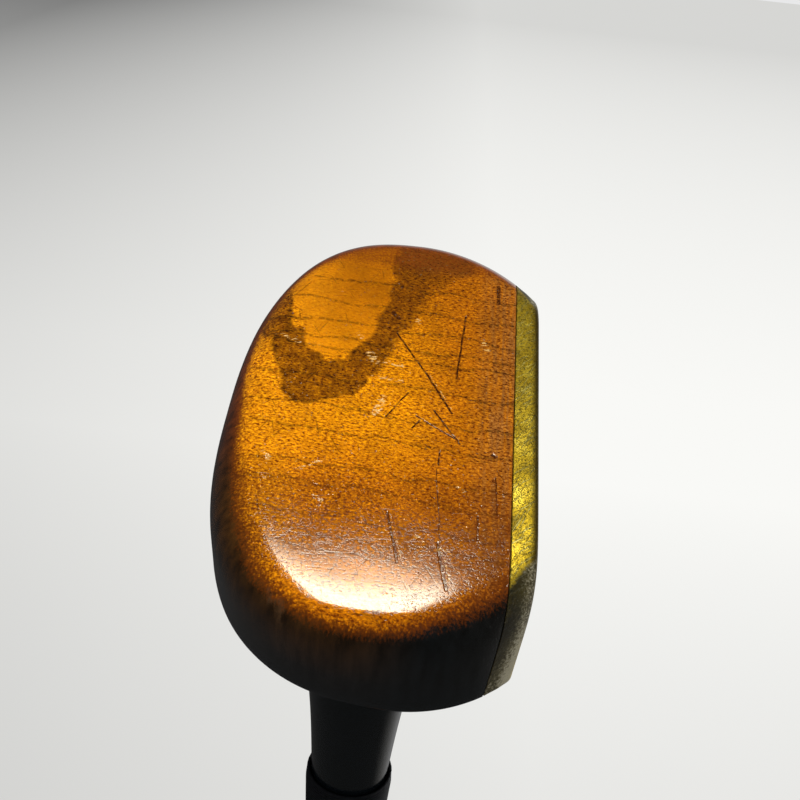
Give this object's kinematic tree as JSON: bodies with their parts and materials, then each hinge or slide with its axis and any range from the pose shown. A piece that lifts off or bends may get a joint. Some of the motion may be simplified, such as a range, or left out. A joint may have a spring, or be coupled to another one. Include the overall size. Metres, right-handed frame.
{
  "type": "hickory mallet putter",
  "caption": "Golf putter with a wooden mallet head, brass face plate, thread-whipped neck, tapered wooden shaft and spiral leather grip.",
  "frame": {"origin": "centre of the flat end of the shaft's butt", "axes": "+Z along the shaft from the butt to the head, +X square to the face's line, on the side the face looks, +Y towards the toe"},
  "size_m": [0.064, 0.11, 0.8888],
  "materials": {
    "head_wood": "varnished, dark stained on the walls and neck, worn to amber on the sole",
    "brass": "filed and tarnished",
    "lead": "dull grey, cast",
    "hickory": "oiled and varnished",
    "listing_cloth": "plain woven",
    "grip_leather": "worn smooth",
    "black_thread": "waxed"
  },
  "bodies": {
    "root": {"head_block": "head_wood", "face_plate": "brass", "face_screw_1": "brass", "face_screw_2": "brass", "face_screw_3": "brass", "face_screw_4": "brass", "face_screw_5": "brass", "lead_weight": "lead", "shaft": "hickory", "neck_whipping": "black_thread", "grip_listing": "listing_cloth", "grip_leather": "grip_leather", "grip_whipping": "black_thread", "grip_tack_1": "brass", "grip_tack_2": "brass"}
  },
  "joints": []
}
